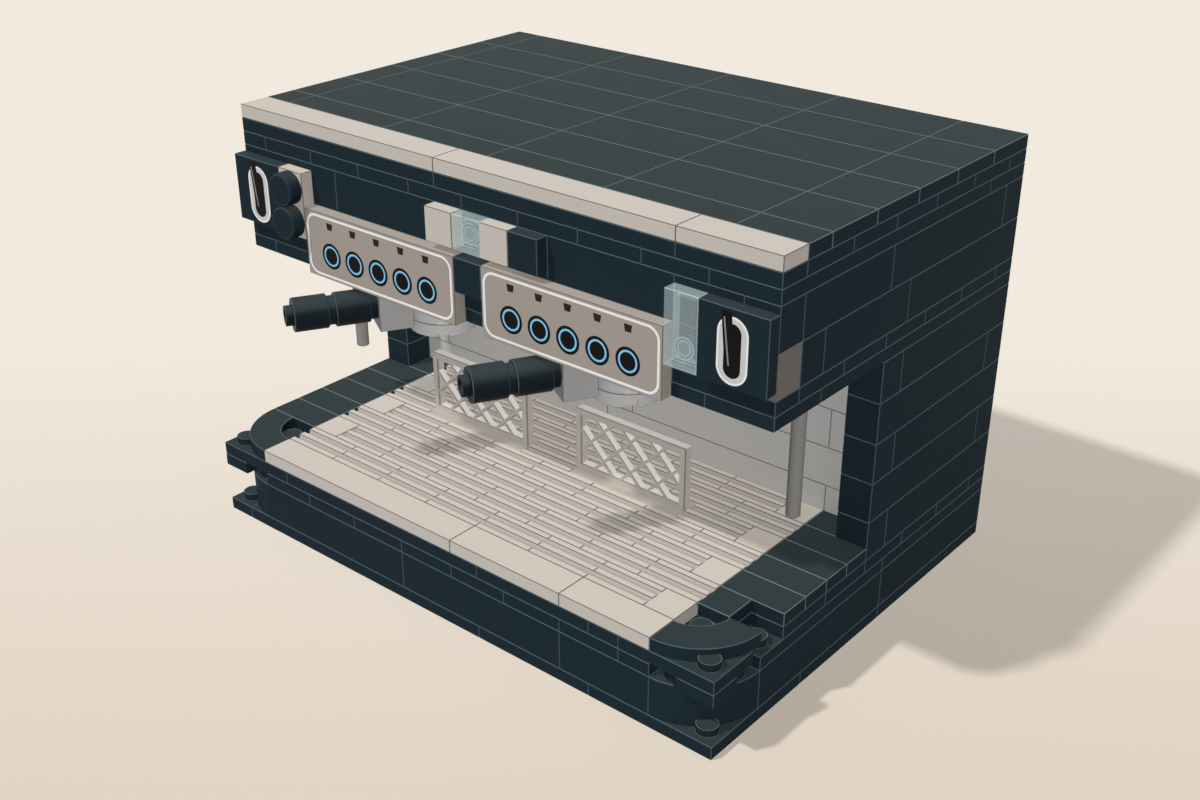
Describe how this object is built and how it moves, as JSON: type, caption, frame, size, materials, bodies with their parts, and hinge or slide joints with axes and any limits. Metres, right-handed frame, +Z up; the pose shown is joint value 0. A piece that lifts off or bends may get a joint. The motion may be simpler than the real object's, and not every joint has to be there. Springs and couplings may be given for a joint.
{
  "type": "building block coffee machine",
  "caption": "Two-group espresso machine model made of stud-and-socket blocks, with turning portafilters, steam wands and knobs over a grilled drip tray.",
  "frame": {"origin": "on the table, under the middle of the footprint", "axes": "+Z up, +X to the viewer's right, the front towards -Y"},
  "size_m": [0.152, 0.1131, 0.1024],
  "materials": {
    "dark_plastic": "moulded, glossy",
    "pale_plastic": "moulded, glossy",
    "grey_plastic": "moulded, glossy",
    "panel_plastic": "moulded, glossy",
    "tan_plastic": "moulded, glossy",
    "clear_plastic": "clear, moulded",
    "wand_plastic": "moulded, glossy",
    "grip_plastic": "moulded, glossy"
  },
  "bodies": {
    "machine": {"base_plates": "dark_plastic", "base_round_bricks": "dark_plastic", "base_wall_bricks": "dark_plastic", "base_inner_bricks": "dark_plastic", "deck_lower_plates": "dark_plastic", "deck_upper_plates": "dark_plastic", "corner_upper_plates": "dark_plastic", "corner_lower_plates": "dark_plastic", "corner_round_tiles": "dark_plastic", "arm_tiles_right": "dark_plastic", "arm_tiles_left": "dark_plastic", "tray_front_tiles": "pale_plastic", "grille_tiles": "pale_plastic", "tray_end_tiles": "pale_plastic", "fence_left": "grey_plastic", "fence_right": "grey_plastic", "side_bricks_left": "dark_plastic", "side_bricks_right": "dark_plastic", "back_bricks": "dark_plastic", "inner_wall_bricks": "grey_plastic", "floor_lower_plates": "dark_plastic", "floor_upper_plates": "dark_plastic", "face_stud_bricks": "dark_plastic", "face_corner_bricks": "tan_plastic", "face_upper_bricks": "dark_plastic", "head_bricks_right": "dark_plastic", "head_bricks_left": "dark_plastic", "head_bricks_back": "dark_plastic", "roof_lower_plates": "dark_plastic", "roof_upper_plates": "dark_plastic", "roof_front_tiles": "pale_plastic", "roof_tiles": "dark_plastic", "switch_tiles": "dark_plastic", "panel_left": "panel_plastic", "panel_right": "panel_plastic", "face_dark_tiles": "dark_plastic", "face_pale_tiles": "pale_plastic", "face_clear_tile": "clear_plastic", "side_clear_tile": "clear_plastic", "knob_plate": "pale_plastic", "group_mounts": "grey_plastic", "wand_sockets": "dark_plastic"},
    "knob_lower": {"knob_lower": "grip_plastic"},
    "knob_upper": {"knob_upper": "grip_plastic"},
    "wand_left": {"wand_left": "wand_plastic"},
    "wand_right": {"wand_right": "wand_plastic"},
    "portafilter_left": {"portafilter_basket_left": "grey_plastic", "portafilter_spout_left": "grey_plastic", "portafilter_holder_left": "grey_plastic", "portafilter_stem_left": "grip_plastic", "portafilter_grip_left": "grip_plastic"},
    "portafilter_right": {"portafilter_basket_right": "grey_plastic", "portafilter_spout_right": "grey_plastic", "portafilter_holder_right": "grey_plastic", "portafilter_stem_right": "grip_plastic", "portafilter_grip_right": "grip_plastic"}
  },
  "joints": [
    {"name": "portafilter_left_turn", "type": "hinge", "parent": "machine", "child": "portafilter_left", "pos_m": [-0.028, -0.024, 0.0619], "axis": [0, 0, 1], "range_deg": [-30, 60]},
    {"name": "portafilter_right_turn", "type": "hinge", "parent": "machine", "child": "portafilter_right", "pos_m": [0.028, -0.024, 0.0619], "axis": [0, 0, 1], "range_deg": [-30, 60]},
    {"name": "knob_lower_turn", "type": "hinge", "parent": "machine", "child": "knob_lower", "pos_m": [-0.056, -0.0448, 0.0792], "axis": [0, -1, 0], "continuous": true},
    {"name": "knob_upper_turn", "type": "hinge", "parent": "machine", "child": "knob_upper", "pos_m": [-0.056, -0.0448, 0.0872], "axis": [0, -1, 0], "continuous": true},
    {"name": "wand_left_turn", "type": "hinge", "parent": "machine", "child": "wand_left", "pos_m": [-0.0668, -0.0164, 0.05], "axis": [0, 0, 1], "continuous": true},
    {"name": "wand_right_turn", "type": "hinge", "parent": "machine", "child": "wand_right", "pos_m": [0.0668, -0.0164, 0.05], "axis": [0, 0, 1], "continuous": true}
  ]
}
